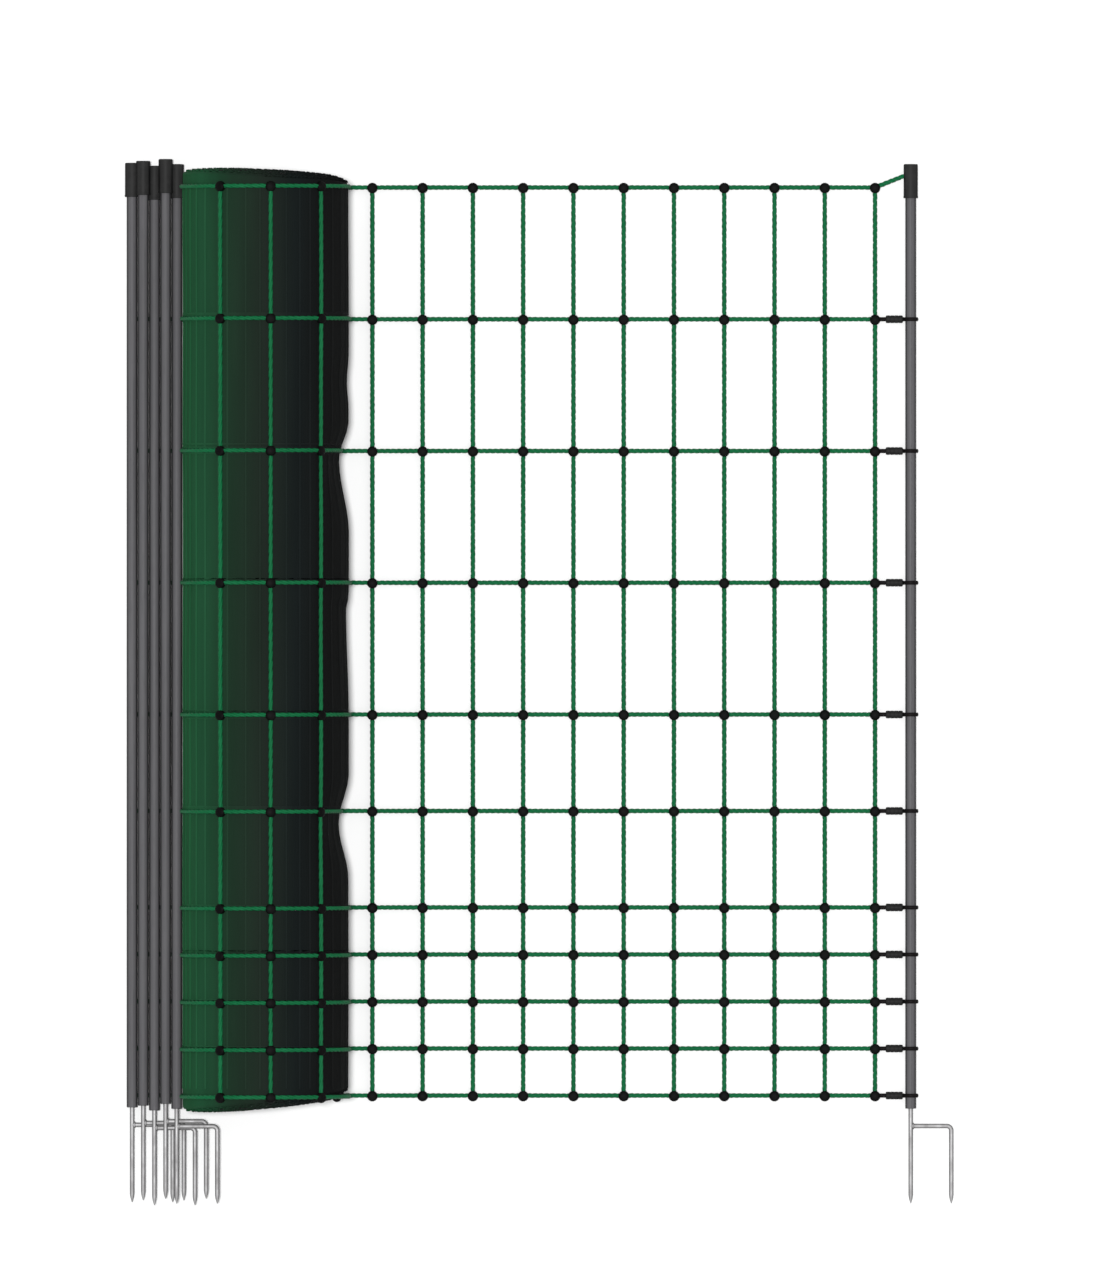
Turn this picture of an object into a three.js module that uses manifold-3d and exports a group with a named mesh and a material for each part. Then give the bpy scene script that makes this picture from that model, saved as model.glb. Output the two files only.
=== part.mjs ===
// Electric poultry netting: one bay of green netting laid out flat, with the rest of the net rolled up
// on it, five posts lying together beside the roll and the end post lying at the far edge.
//
// It lies on a level floor. X runs along the net towards the end post, Y runs up the posts towards their
// caps, and Z points up. Sizes are in millimetres. While the pieces are laid out, x = 0 is the first strut
// of the bay and y = 0 is the bottom strand. At the end the whole part is moved so that its box stands on
// the origin.

import * as THREE from "three";
import { mergeVertices } from "three/addons/utils/BufferGeometryUtils.js";
import Module from "manifold-3d";

const wasm = await Module();
wasm.setup();

// Netting
const STRUT_COUNT = 14;
const STRUT_PITCH = 62;
const LOW_MESH = 58; // height of each of the four close meshes at the ground
const MIDDLE_MESH = 119; // height of each of the two middle meshes
const HIGH_MESH = 162.5; // height of each of the four wide meshes at the top
const STRAND_REACH = 2.3; // centre to corner of a strand's or strut's four-sided section
const KNOT_REACH = 7.5; // centre to corner of a moulded knot along the strands
const KNOT_HALF_HEIGHT = 5.7;

// Posts
const ROD_RADIUS = 6.75;
const ROD_BELOW_NET = 16; // from the bottom strand to the foot of the rod
const ROD_ABOVE_NET = 6; // from the top strand to the top of the rod, inside the cap
const ROD_EDGE = 0.6;
const CAP_RADIUS = 8.75;
const CAP_LENGTH = 42;
const CAP_HEAD = 22.5; // solid length of the cap above the rod
const CAP_EDGE = 1.2;
const SPIKE_RADIUS = 2.75;
const SPIKE_LENGTH = 117; // from the foot of the rod to the tip
const SPIKE_IN_ROD = 45;
const SPIKE_POINT = 11;
const SIDE_PRONG_OFFSET = 50; // from the middle of the spike to the middle of its side prong
const STEP_BAR_DROP = 21.5; // from the foot of the rod to the middle of the step bar
const STEP_BAR_BEND = 5.5; // bend radius where the step bar turns down into the side prong
const END_POST_OFFSET = 44; // from the last strut to the middle of the end post

// Clips that hold the strands to the end post
const RING_THICKNESS = 2.6;
const RING_HALF_HEIGHT = 1.75;
const NECK_RADIUS = 1.75;
const SLEEVE_RADIUS = 4;
const SLEEVE_LENGTH = 20;
const SLEEVE_EDGE = 1.2;

// Bundle of posts beside the roll
const BUNDLE_GAP = 55; // from the first strut to the nearest bundled post
const BUNDLE_SHIFTS = [1.5, 3.8, -2.1, 6, 0]; // how far each post is pushed up along the bundle

// Roll
const ROLL_RADIUS = 103.5;
const ROLL_BORE_RADIUS = 20;
const ROLL_CENTRE = 55; // from the first strut to the middle of the roll
const ROLL_BELOW_NET = 1; // from the bottom strand down to the rim of the roll's lower end
const ROLL_ABOVE_NET = 7; // from the top strand up to the rim of the roll's upper end
const ROLL_BULGE = 16; // how far the inner turns stand out of each end
const ROLL_SHOULDER = 9;
const ROLL_TURNS = 6; // turns that show as ridges on each end
const TURN_DEPTH = 3;
const WAIST_HEIGHTS = [334, 786]; // where the roll is drawn in, above the bottom strand
const WAIST_DEPTH = 11;
const WAIST_HALF_WIDTH = 68;

// Clearances and facets
const GAP = 0.3;
const FORK_GAP = 0.5;
const THIN_SIDES = 4;
const WIRE_SIDES = 8;
const ROD_SIDES = 12;
const CAP_SIDES = 16;
const ROLL_SIDES = 32;
const MERGE_DISTANCE = 1e-3;

// Values that follow from the sizes above
const MESH_HEIGHTS = [
  ...Array(4).fill(LOW_MESH),
  ...Array(2).fill(MIDDLE_MESH),
  ...Array(4).fill(HIGH_MESH),
];
const STRAND_HEIGHTS = MESH_HEIGHTS.reduce((heights, mesh) => [...heights, heights.at(-1) + mesh], [0]);
const NET_HEIGHT = STRAND_HEIGHTS.at(-1);
const LAST_STRUT = (STRUT_COUNT - 1) * STRUT_PITCH;
const END_POST_X = LAST_STRUT + END_POST_OFFSET;
const STRAND_Z = KNOT_HALF_HEIGHT; // the knots lie on the floor
const STRAND_TOP = STRAND_Z + STRAND_REACH;
const RING_BORE = ROD_RADIUS + GAP;
const RING_RADIUS = RING_BORE + RING_THICKNESS;
const END_POST_Z = RING_RADIUS; // the rings lie on the floor and carry the end post
const ROD_FOOT = -ROD_BELOW_NET;
const ROD_LENGTH = ROD_BELOW_NET + NET_HEIGHT + ROD_ABOVE_NET;
const STEP_BAR_Y = ROD_FOOT - STEP_BAR_DROP;
const CAP_FOOT_ON_ROD = ROD_LENGTH + GAP + CAP_HEAD - CAP_LENGTH;
const BUNDLE_PITCH = 2 * ROD_RADIUS + GAP;
const BUNDLE_START = -BUNDLE_GAP - (BUNDLE_SHIFTS.length - 1) * BUNDLE_PITCH;
const STRAND_START = BUNDLE_START - ROD_RADIUS;

const COLOURS = {
  net: { color: 0x156b3f, roughness: 0.55, metalness: 0 },
  roll: { color: 0x14231b, roughness: 0.8, metalness: 0 },
  rod: { color: 0x68676a, roughness: 0.5, metalness: 0 },
  cap: { color: 0x323232, roughness: 0.55, metalness: 0 },
  spike: { color: 0xb9b7b8, roughness: 0.35, metalness: 0.9 },
  clip: { color: 0x1c1a1b, roughness: 0.55, metalness: 0 },
};

/** Turns a closed geometry into a solid that can be joined and cut. */
function toSolid(geometry) {
  const bare = geometry.clone();
  bare.deleteAttribute("normal");
  bare.deleteAttribute("uv");
  const merged = mergeVertices(bare, MERGE_DISTANCE);
  const vertProperties = merged.attributes.position.array;
  const triVerts = new Uint32Array(merged.index.array);
  return new wasm.Manifold(new wasm.Mesh({ numProp: 3, vertProperties, triVerts }));
}

/** Turns a solid back into a geometry. */
function toGeometry(solid) {
  const mesh = solid.getMesh();
  const positions = new THREE.BufferAttribute(new Float32Array(mesh.vertProperties), mesh.numProp);
  const geometry = new THREE.BufferGeometry().setAttribute("position", positions);
  geometry.setIndex(new THREE.BufferAttribute(new Uint32Array(mesh.triVerts), 1));
  geometry.computeVertexNormals();
  return geometry;
}

/** Joins geometries into one. */
function join(geometries) {
  return toGeometry(geometries.map(toSolid).reduce((all, next) => all.add(next)));
}

/** Makes a named mesh of one material. */
function piece(name, geometry, look) {
  const mesh = new THREE.Mesh(geometry, new THREE.MeshStandardMaterial(COLOURS[look]));
  mesh.name = name;
  return mesh;
}

/** A turned solid about Y from [radius, height] pairs, given from the axis outwards and upwards. */
function turned(profile, sides) {
  const points = profile.map(([radius, height]) => new THREE.Vector2(radius, height));
  return new THREE.LatheGeometry(points, sides);
}

/** A straight bar between two points, with a corner of its section facing up. */
function bar(start, end, radius, sides) {
  const along = end.clone().sub(start);
  const geometry = new THREE.CylinderGeometry(radius, radius, along.length(), sides);
  const turn = new THREE.Quaternion().setFromUnitVectors(new THREE.Vector3(0, 1, 0), along.normalize());
  const middle = start.clone().add(end).multiplyScalar(0.5);
  return geometry.applyQuaternion(turn).translate(middle.x, middle.y, middle.z);
}

/** The line from the last knot of the top strand into the head of the end post's cap. */
function tailLine() {
  const knot = new THREE.Vector3(LAST_STRUT, NET_HEIGHT, STRAND_Z);
  const capFoot = ROD_FOOT + CAP_FOOT_ON_ROD;
  const entry = new THREE.Vector3(END_POST_X, capFoot + CAP_LENGTH - CAP_HEAD / 2, END_POST_Z);
  const way = entry.clone().sub(knot).normalize();
  const inside = CAP_RADIUS / 2;
  return { knot, way, end: entry.clone().addScaledVector(way, -inside), axis: entry };
}

/** One bay of netting: strands, struts and the knots moulded round their crossings. */
function net() {
  const strandEnd = LAST_STRUT + KNOT_REACH + GAP;
  const top = STRAND_HEIGHTS.length - 1;
  const strands = STRAND_HEIGHTS.map((y, level) => {
    const end = level === top ? LAST_STRUT : strandEnd;
    const from = new THREE.Vector3(STRAND_START, y, STRAND_Z);
    return bar(from, new THREE.Vector3(end, y, STRAND_Z), STRAND_REACH, THIN_SIDES);
  });
  const struts = [];
  const knots = [];
  for (let strut = 0; strut < STRUT_COUNT; strut++) {
    const x = strut * STRUT_PITCH;
    const foot = new THREE.Vector3(x, 0, STRAND_Z);
    struts.push(bar(foot, new THREE.Vector3(x, NET_HEIGHT, STRAND_Z), STRAND_REACH, THIN_SIDES));
    for (const y of STRAND_HEIGHTS) {
      const knot = new THREE.OctahedronGeometry(KNOT_REACH);
      knots.push(knot.scale(1, 1, KNOT_HALF_HEIGHT / KNOT_REACH).translate(x, y, STRAND_Z));
    }
  }
  const tail = tailLine();
  const tailBar = bar(tail.knot, tail.end, STRAND_REACH, THIN_SIDES);
  return piece("net", join([...strands, ...struts, ...knots, tailBar]), "net");
}

/** The straight rod of a post, with a blind bore in its foot for the spike. */
function rod(name) {
  const bore = SPIKE_RADIUS + GAP;
  const profile = [
    [0, SPIKE_IN_ROD + GAP],
    [bore, SPIKE_IN_ROD + GAP],
    [bore, 0],
    [ROD_RADIUS - ROD_EDGE, 0],
    [ROD_RADIUS, ROD_EDGE],
    [ROD_RADIUS, ROD_LENGTH - ROD_EDGE],
    [ROD_RADIUS - ROD_EDGE, ROD_LENGTH],
    [0, ROD_LENGTH],
  ];
  return piece(name, turned(profile, ROD_SIDES), "rod");
}

/** The insulating cap of a post: a solid head over a socket that the rod stands in. */
function capShape() {
  const socket = ROD_RADIUS + GAP;
  const depth = CAP_LENGTH - CAP_HEAD;
  const profile = [
    [0, depth],
    [socket, depth],
    [socket, 0],
    [CAP_RADIUS - CAP_EDGE / 2, 0],
    [CAP_RADIUS, CAP_EDGE / 2],
    [CAP_RADIUS, CAP_LENGTH - CAP_EDGE],
    [CAP_RADIUS - CAP_EDGE, CAP_LENGTH],
    [0, CAP_LENGTH],
  ];
  return turned(profile, CAP_SIDES).translate(0, CAP_FOOT_ON_ROD, 0);
}

/** The end post's cap, whose head has a side hole that the top strand is tied into. */
function endCapShape() {
  const tail = tailLine();
  const postFrame = new THREE.Vector3(END_POST_X, ROD_FOOT, END_POST_Z);
  const holeEnd = tail.end.clone().addScaledVector(tail.way, GAP).sub(postFrame);
  const holeStart = tail.axis.clone().addScaledVector(tail.way, -2 * CAP_RADIUS).sub(postFrame);
  const hole = bar(holeStart, holeEnd, STRAND_REACH + GAP * Math.SQRT2, THIN_SIDES);
  return toGeometry(toSolid(capShape()).subtract(toSolid(hole)));
}

/** A path through listed points, so that an extrusion has one step between each pair of them. */
class BentWire extends THREE.Curve {
  constructor(points) {
    super();
    this.points = points;
  }

  getPointAt(share) {
    const place = share * (this.points.length - 1);
    const index = Math.min(Math.floor(place + 1e-6), this.points.length - 2);
    return this.points[index].clone().lerp(this.points[index + 1], place - index);
  }

  getTangentAt(share) {
    const index = Math.round(share * (this.points.length - 1));
    const after = this.points[Math.min(index + 1, this.points.length - 1)];
    const before = this.points[Math.max(index - 1, 0)];
    return after.clone().sub(before).normalize();
  }
}

/** The pointed end of a wire whose tip is at the given place, pointing down Y. */
function wirePoint(x, tip) {
  const profile = [
    [0, 0],
    [SPIKE_RADIUS, SPIKE_POINT],
    [0, SPIKE_POINT + SPIKE_RADIUS],
  ];
  return turned(profile, WIRE_SIDES).translate(x, tip, 0);
}

/** The steel spike in a rod's foot, with its side prong welded on: the rod's foot is at y = 0. */
function spike(name) {
  const tip = -SPIKE_LENGTH;
  const shoulder = tip + SPIKE_POINT;
  const stemFoot = new THREE.Vector3(0, shoulder, 0);
  const stemTop = new THREE.Vector3(0, SPIKE_IN_ROD, 0);
  const stem = bar(stemFoot, stemTop, SPIKE_RADIUS, WIRE_SIDES);
  const bendSteps = 4;
  const bendX = SIDE_PRONG_OFFSET - STEP_BAR_BEND;
  const bendY = -STEP_BAR_DROP - STEP_BAR_BEND;
  const path = [new THREE.Vector3(0, -STEP_BAR_DROP, 0)];
  for (let step = 0; step <= bendSteps; step++) {
    const angle = (Math.PI / 2) * (step / bendSteps);
    const x = bendX + STEP_BAR_BEND * Math.sin(angle);
    path.push(new THREE.Vector3(x, bendY + STEP_BAR_BEND * Math.cos(angle), 0));
  }
  path.push(new THREE.Vector3(SIDE_PRONG_OFFSET, shoulder, 0));
  const section = new THREE.Shape();
  for (let side = 0; side < WIRE_SIDES; side++) {
    const angle = (2 * Math.PI * side) / WIRE_SIDES;
    const point = [SPIKE_RADIUS * Math.cos(angle), SPIKE_RADIUS * Math.sin(angle)];
    if (side === 0) section.moveTo(...point);
    else section.lineTo(...point);
  }
  const prong = new THREE.ExtrudeGeometry(section, {
    steps: path.length - 1,
    extrudePath: new BentWire(path),
    bevelEnabled: false,
  });
  const shape = join([stem, prong, wirePoint(0, tip), wirePoint(SIDE_PRONG_OFFSET, tip)]);
  return piece(name, shape, "spike");
}

/** One post as a group whose own frame has the rod's foot at its origin and the rod along Y. */
function post(prefix, suffix, capGeometry) {
  const group = new THREE.Group();
  group.add(rod(`${prefix}_rod${suffix}`), spike(`${prefix}_spike${suffix}`));
  group.add(piece(`${prefix}_cap${suffix}`, capGeometry, "cap"));
  return group;
}

/** The post at the free edge of the bay, carried by its clips' rings. */
function endPost() {
  const group = post("end_post", "", endCapShape());
  group.position.set(END_POST_X, ROD_FOOT, END_POST_Z);
  return group;
}

/** Five posts in a pile: at their caps two lie in the grooves of three, and each spike lies on the last. */
function bundle() {
  const group = new THREE.Group();
  const lowCap = STRAND_TOP + GAP + CAP_RADIUS;
  const capReach = 2 * CAP_RADIUS + GAP;
  const highCap = lowCap + Math.sqrt(capReach ** 2 - BUNDLE_PITCH ** 2);
  const lowSpike = STRAND_TOP + GAP + ROD_RADIUS;
  const span = NET_HEIGHT - STEP_BAR_Y;
  BUNDLE_SHIFTS.forEach((shift, index) => {
    const capZ = index % 2 ? highCap : lowCap;
    const spikeZ = lowSpike + index * (2 * SPIKE_RADIUS + FORK_GAP);
    const slope = Math.atan2(capZ - spikeZ, span);
    const one = post("post", `_${index + 1}`, capShape());
    const footZ = spikeZ + Math.tan(slope) * STEP_BAR_DROP;
    one.position.set(BUNDLE_START + index * BUNDLE_PITCH, ROD_FOOT + shift, footZ);
    one.rotation.x = slope;
    group.add(one);
  });
  return group;
}

/** A clip: a ring round the end post, with a crimped sleeve and a neck that runs to the strand's end. */
function clip(name, y) {
  const middle = RING_BORE + RING_THICKNESS / 2;
  const ringProfile = [
    [RING_BORE, -RING_HALF_HEIGHT / 2],
    [middle, -RING_HALF_HEIGHT],
    [RING_RADIUS, -RING_HALF_HEIGHT / 2],
    [RING_RADIUS, RING_HALF_HEIGHT / 2],
    [middle, RING_HALF_HEIGHT],
    [RING_BORE, RING_HALF_HEIGHT / 2],
    [RING_BORE, -RING_HALF_HEIGHT / 2],
  ];
  const ring = turned(ringProfile, ROD_SIDES).translate(END_POST_X, y, END_POST_Z);
  const sleeveProfile = [
    [0, 0],
    [SLEEVE_RADIUS - SLEEVE_EDGE, 0],
    [SLEEVE_RADIUS, SLEEVE_EDGE],
    [SLEEVE_RADIUS, SLEEVE_LENGTH - SLEEVE_EDGE],
    [SLEEVE_RADIUS - SLEEVE_EDGE, SLEEVE_LENGTH],
    [0, SLEEVE_LENGTH],
  ];
  const sleeveEnd = END_POST_X - RING_RADIUS - GAP;
  const sleeve = turned(sleeveProfile, WIRE_SIDES).rotateZ(-Math.PI / 2);
  sleeve.translate(sleeveEnd - SLEEVE_LENGTH, y, STRAND_Z);
  const neckStart = new THREE.Vector3(LAST_STRUT + KNOT_REACH + 2 * GAP, y, STRAND_Z);
  const neckEnd = new THREE.Vector3(END_POST_X - middle, y, STRAND_Z);
  const neck = bar(neckStart, neckEnd, NECK_RADIUS, WIRE_SIDES);
  const rodSpace = bar(
    new THREE.Vector3(END_POST_X, y - SLEEVE_RADIUS, END_POST_Z),
    new THREE.Vector3(END_POST_X, y + SLEEVE_RADIUS, END_POST_Z),
    RING_BORE,
    ROD_SIDES,
  );
  const whole = toSolid(join([ring, sleeve, neck])).subtract(toSolid(rodSpace));
  return piece(name, toGeometry(whole), "clip");
}

/** The clips of every strand but the top one, counted from the top. */
function clips() {
  const group = new THREE.Group();
  const held = STRAND_HEIGHTS.slice(0, -1).reverse();
  held.forEach((y, index) => group.add(clip(`post_clip_${String(index + 1).padStart(2, "0")}`, y)));
  return group;
}

/** How far the roll is drawn in at a height, from its waists. */
function waist(y) {
  const depths = WAIST_HEIGHTS.map((height) => {
    const share = Math.min(Math.abs(y - height) / WAIST_HALF_WIDTH, 1);
    return WAIST_DEPTH * Math.cos((share * Math.PI) / 2) ** 2;
  });
  return Math.max(...depths);
}

/** One end of the roll's outline from its rim to its bore, as [radius, height above the rim] pairs. */
function rollEnd() {
  const points = [
    [ROLL_RADIUS, -ROLL_SHOULDER],
    [ROLL_RADIUS - ROLL_SHOULDER * (1 - Math.SQRT1_2), -ROLL_SHOULDER * (1 - Math.SQRT1_2)],
  ];
  const rim = ROLL_RADIUS - ROLL_SHOULDER;
  const turn = (rim - ROLL_BORE_RADIUS) / (ROLL_TURNS - 1);
  for (let index = 0; index < ROLL_TURNS; index++) {
    const crest = rim - index * turn;
    const groove = crest - turn / 2;
    points.push([crest, ROLL_BULGE * (1 - (crest / rim) ** 2)]);
    if (index < ROLL_TURNS - 1) points.push([groove, ROLL_BULGE * (1 - (groove / rim) ** 2) - TURN_DEPTH]);
  }
  return points;
}

/** The rest of the net, rolled up: one turned body with its bore, drawn in at its waists. */
function roll() {
  const lowRim = -ROLL_BELOW_NET;
  const highRim = NET_HEIGHT + ROLL_ABOVE_NET;
  const lowEnd = rollEnd().map(([radius, rise]) => [radius, lowRim - rise]);
  const highEnd = rollEnd().map(([radius, rise]) => [radius, highRim + rise]);
  const shares = [-1, -0.5, 0, 0.5, 1];
  const side = WAIST_HEIGHTS.flatMap((height) => shares.map((share) => height + share * WAIST_HALF_WIDTH));
  const wall = side.map((y) => [ROLL_RADIUS - waist(y), y]);
  const profile = [...lowEnd.reverse(), ...wall, ...highEnd, lowEnd[0]];
  const geometry = turned(profile, ROLL_SIDES);
  const restHeight = STRAND_Z + KNOT_HALF_HEIGHT + GAP + ROLL_RADIUS;
  return piece("net_roll", geometry.translate(ROLL_CENTRE, 0, restHeight), "roll");
}

const laidOut = new THREE.Group();
laidOut.add(net(), roll(), endPost(), clips(), bundle());
laidOut.updateMatrixWorld(true);
const box = new THREE.Box3().setFromObject(laidOut, true);
const middle = box.getCenter(new THREE.Vector3());
laidOut.position.set(-middle.x, -middle.y, -box.min.z);

const netting = new THREE.Group();
netting.name = "electric_poultry_netting";
netting.add(laidOut);

export default netting;
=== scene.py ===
"""Looks of the electric poultry netting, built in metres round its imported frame.

The netting lies on a pale floor: X runs along the net towards the end post, Y up the posts and Z up from
the floor.
"""

import logging
import math
from dataclasses import dataclass, field
from enum import Enum
from typing import Callable

import bpy
import numpy as np
from mathutils import Matrix, Vector


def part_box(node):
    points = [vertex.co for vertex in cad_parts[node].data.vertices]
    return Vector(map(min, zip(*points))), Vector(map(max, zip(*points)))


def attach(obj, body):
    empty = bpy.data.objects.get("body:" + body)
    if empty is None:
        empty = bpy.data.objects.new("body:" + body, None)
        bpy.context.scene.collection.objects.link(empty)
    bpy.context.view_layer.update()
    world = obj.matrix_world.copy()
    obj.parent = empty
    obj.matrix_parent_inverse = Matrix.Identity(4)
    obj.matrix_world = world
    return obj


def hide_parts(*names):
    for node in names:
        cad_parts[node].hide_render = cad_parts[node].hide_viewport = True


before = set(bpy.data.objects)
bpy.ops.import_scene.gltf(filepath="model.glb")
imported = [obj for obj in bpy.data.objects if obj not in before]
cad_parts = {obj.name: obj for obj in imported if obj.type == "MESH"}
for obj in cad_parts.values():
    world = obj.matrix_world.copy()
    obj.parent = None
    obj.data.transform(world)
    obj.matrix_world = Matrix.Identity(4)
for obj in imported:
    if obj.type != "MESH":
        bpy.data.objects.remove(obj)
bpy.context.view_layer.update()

log = logging.getLogger("poultry_netting")

BODY = "root"

Object = bpy.types.Object
Socket = bpy.types.NodeSocket
NodeTree = bpy.types.NodeTree
Material = bpy.types.Material
Points = np.ndarray
Colour = tuple[float, float, float]
EdgeTest = Callable[[Vector, Vector], bool]


class Slot(Enum):
    """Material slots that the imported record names."""

    NET = "net_cord"
    ROLL = "rolled_net"
    POST = "post_plastic"
    BLACK = "black_plastic"
    STEEL = "spike_steel"


LIGHT_ON_FLOOR = 1.6
WELD_DISTANCE = 1e-6
QUARTER_TURN = math.pi / 2


def display(red: int, green: int, blue: int) -> Colour:
    """The paint that a level surface needs to show as a colour, 0 to 255, under the studio's light.

    Args:
        red: Red as displayed.
        green: Green as displayed.
        blue: Blue as displayed.

    Returns:
        The linear colour.
    """
    shares = [value / 255 for value in (red, green, blue)]
    linear = [s / 12.92 if s <= 0.04045 else ((s + 0.055) / 1.055) ** 2.4 for s in shares]
    return tuple(value / LIGHT_ON_FLOOR for value in linear)


# Modelling by hand, in code


def deselect_all() -> None:
    """Leaves object mode with nothing selected, so that the next operator acts on what it adds."""
    if bpy.context.object and bpy.context.object.mode != "OBJECT":
        bpy.ops.object.mode_set(mode="OBJECT")
    bpy.ops.object.select_all(action="DESELECT")


def activate(piece: Object) -> None:
    """Selects one object and makes it the active one."""
    deselect_all()
    piece.select_set(True)
    bpy.context.view_layer.objects.active = piece


def select_edges(piece: Object, wanted: EdgeTest) -> None:
    """Selects the edges of a mesh that a test on their two ends picks, with nothing else selected.

    Args:
        piece: The mesh object, in object mode.
        wanted: Says of an edge's ends whether it is selected.
    """
    mesh = piece.data
    for item in (*mesh.vertices, *mesh.polygons):
        item.select = False
    for edge in mesh.edges:
        first, second = (mesh.vertices[index].co for index in edge.vertices)
        edge.select = wanted(first, second)
        if edge.select:
            for index in edge.vertices:
                mesh.vertices[index].select = True


def round_edges(piece: Object, wanted: EdgeTest, width: float, segments: int) -> None:
    """Rounds the edges of a mesh that a test on their two ends picks.

    Args:
        piece: The mesh object, in object mode.
        wanted: Says of an edge's ends whether it is rounded.
        width: How far the rounding reaches from the edge.
        segments: How many faces it has across.
    """
    select_edges(piece, wanted)
    bpy.ops.object.mode_set(mode="EDIT")
    bpy.ops.mesh.bevel(offset=width, segments=segments, profile=0.5)
    bpy.ops.object.mode_set(mode="OBJECT")


def weld(piece: Object) -> Object:
    """Merges the active piece's doubled points and turns its faces outwards."""
    bpy.ops.object.mode_set(mode="EDIT")
    bpy.ops.mesh.select_all(action="SELECT")
    bpy.ops.mesh.remove_doubles(threshold=WELD_DISTANCE)
    bpy.ops.mesh.normals_make_consistent(inside=False)
    bpy.ops.object.mode_set(mode="OBJECT")
    return piece


def settle(piece: Object) -> Object:
    """Puts an object's place, turn and scale into its mesh."""
    activate(piece)
    bpy.ops.object.transform_apply(location=True, rotation=True, scale=True)
    return piece


def copy_of(piece: Object, matrix: Matrix) -> Object:
    """Copies a piece with a mesh of its own and moves the copy's mesh.

    Args:
        piece: The piece to copy.
        matrix: Where the copy goes, from where the piece is.

    Returns:
        The copy, with its place in its mesh.
    """
    twin = piece.copy()
    twin.data = piece.data.copy()
    bpy.context.scene.collection.objects.link(twin)
    twin.data.transform(matrix)
    return twin


def join(name: str, pieces: list[Object]) -> Object:
    """Joins pieces into one named object."""
    deselect_all()
    for piece in pieces:
        piece.select_set(True)
    bpy.context.view_layer.objects.active = pieces[0]
    if len(pieces) > 1:
        bpy.ops.object.join()
    whole = pieces[0]
    whole.name = name
    whole.data.name = name
    return whole


def remove(*pieces: Object) -> None:
    """Deletes pieces that were only patterns for their copies."""
    for piece in pieces:
        bpy.data.objects.remove(piece)


def smooth(piece: Object, angle: float = 40.0) -> Object:
    """Shades a piece smooth, but for the edges sharper than an angle in degrees."""
    activate(piece)
    bpy.ops.object.shade_smooth_by_angle(angle=math.radians(angle))
    return piece


def read_points(piece: Object) -> Points:
    """The places of a mesh's vertices, one row each."""
    flat = np.empty(len(piece.data.vertices) * 3, dtype=np.float32)
    piece.data.vertices.foreach_get("co", flat)
    return flat.reshape(-1, 3).astype(float)


def write_points(piece: Object, points: Points) -> None:
    """Moves a mesh's vertices to new places."""
    piece.data.vertices.foreach_set("co", points.astype(np.float32).ravel())
    piece.data.update()


def turned(name: str, profile: list[tuple[float, float]], steps: int) -> Object:
    """Spins an outline round the Y axis into a closed solid.

    Args:
        name: The new object's name.
        profile: Radii and heights from the lower end up; an outline off the axis closes on itself.
        steps: How many sides the solid has round the axis.

    Returns:
        The solid, with its faces pointing outwards.
    """
    deselect_all()
    bpy.ops.mesh.primitive_circle_add(vertices=len(profile), radius=1, fill_type="NOTHING")
    piece = bpy.context.object
    piece.name = name
    write_points(piece, np.array([(radius, height, 0.0) for radius, height in profile]))
    open_at_axis = profile[0][0] == 0 and profile[-1][0] == 0
    if open_at_axis:
        select_edges(piece, lambda first, second: first.x == 0 and second.x == 0)
    bpy.ops.object.mode_set(mode="EDIT")
    if open_at_axis:
        bpy.ops.mesh.delete(type="EDGE_FACE")
    bpy.ops.mesh.select_all(action="SELECT")
    bpy.ops.mesh.spin(steps=steps, angle=2 * math.pi, center=(0, 0, 0), axis=(0, 1, 0))
    bpy.ops.object.mode_set(mode="OBJECT")
    return weld(piece)


def wire_along(name: str, route: list[Vector], radii: list[float], sides: int) -> Object:
    """Runs a round wire along a route.

    Args:
        name: The new object's name.
        route: The points that the wire's middle follows.
        radii: The wire's radius at each point.
        sides: How many sides the wire has; a multiple of four.

    Returns:
        The wire as a closed mesh.
    """
    curve = bpy.data.curves.new(name, "CURVE")
    curve.dimensions = "3D"
    curve.bevel_depth = 1.0
    curve.bevel_resolution = sides // 4 - 1
    curve.use_fill_caps = True
    spline = curve.splines.new("POLY")
    spline.points.add(len(route) - 1)
    for point, place, radius in zip(spline.points, route, radii):
        point.co = (*place, 1.0)
        point.radius = radius
    piece = bpy.data.objects.new(name, curve)
    bpy.context.scene.collection.objects.link(piece)
    activate(piece)
    bpy.ops.object.convert(target="MESH")
    return weld(bpy.context.object)


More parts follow.
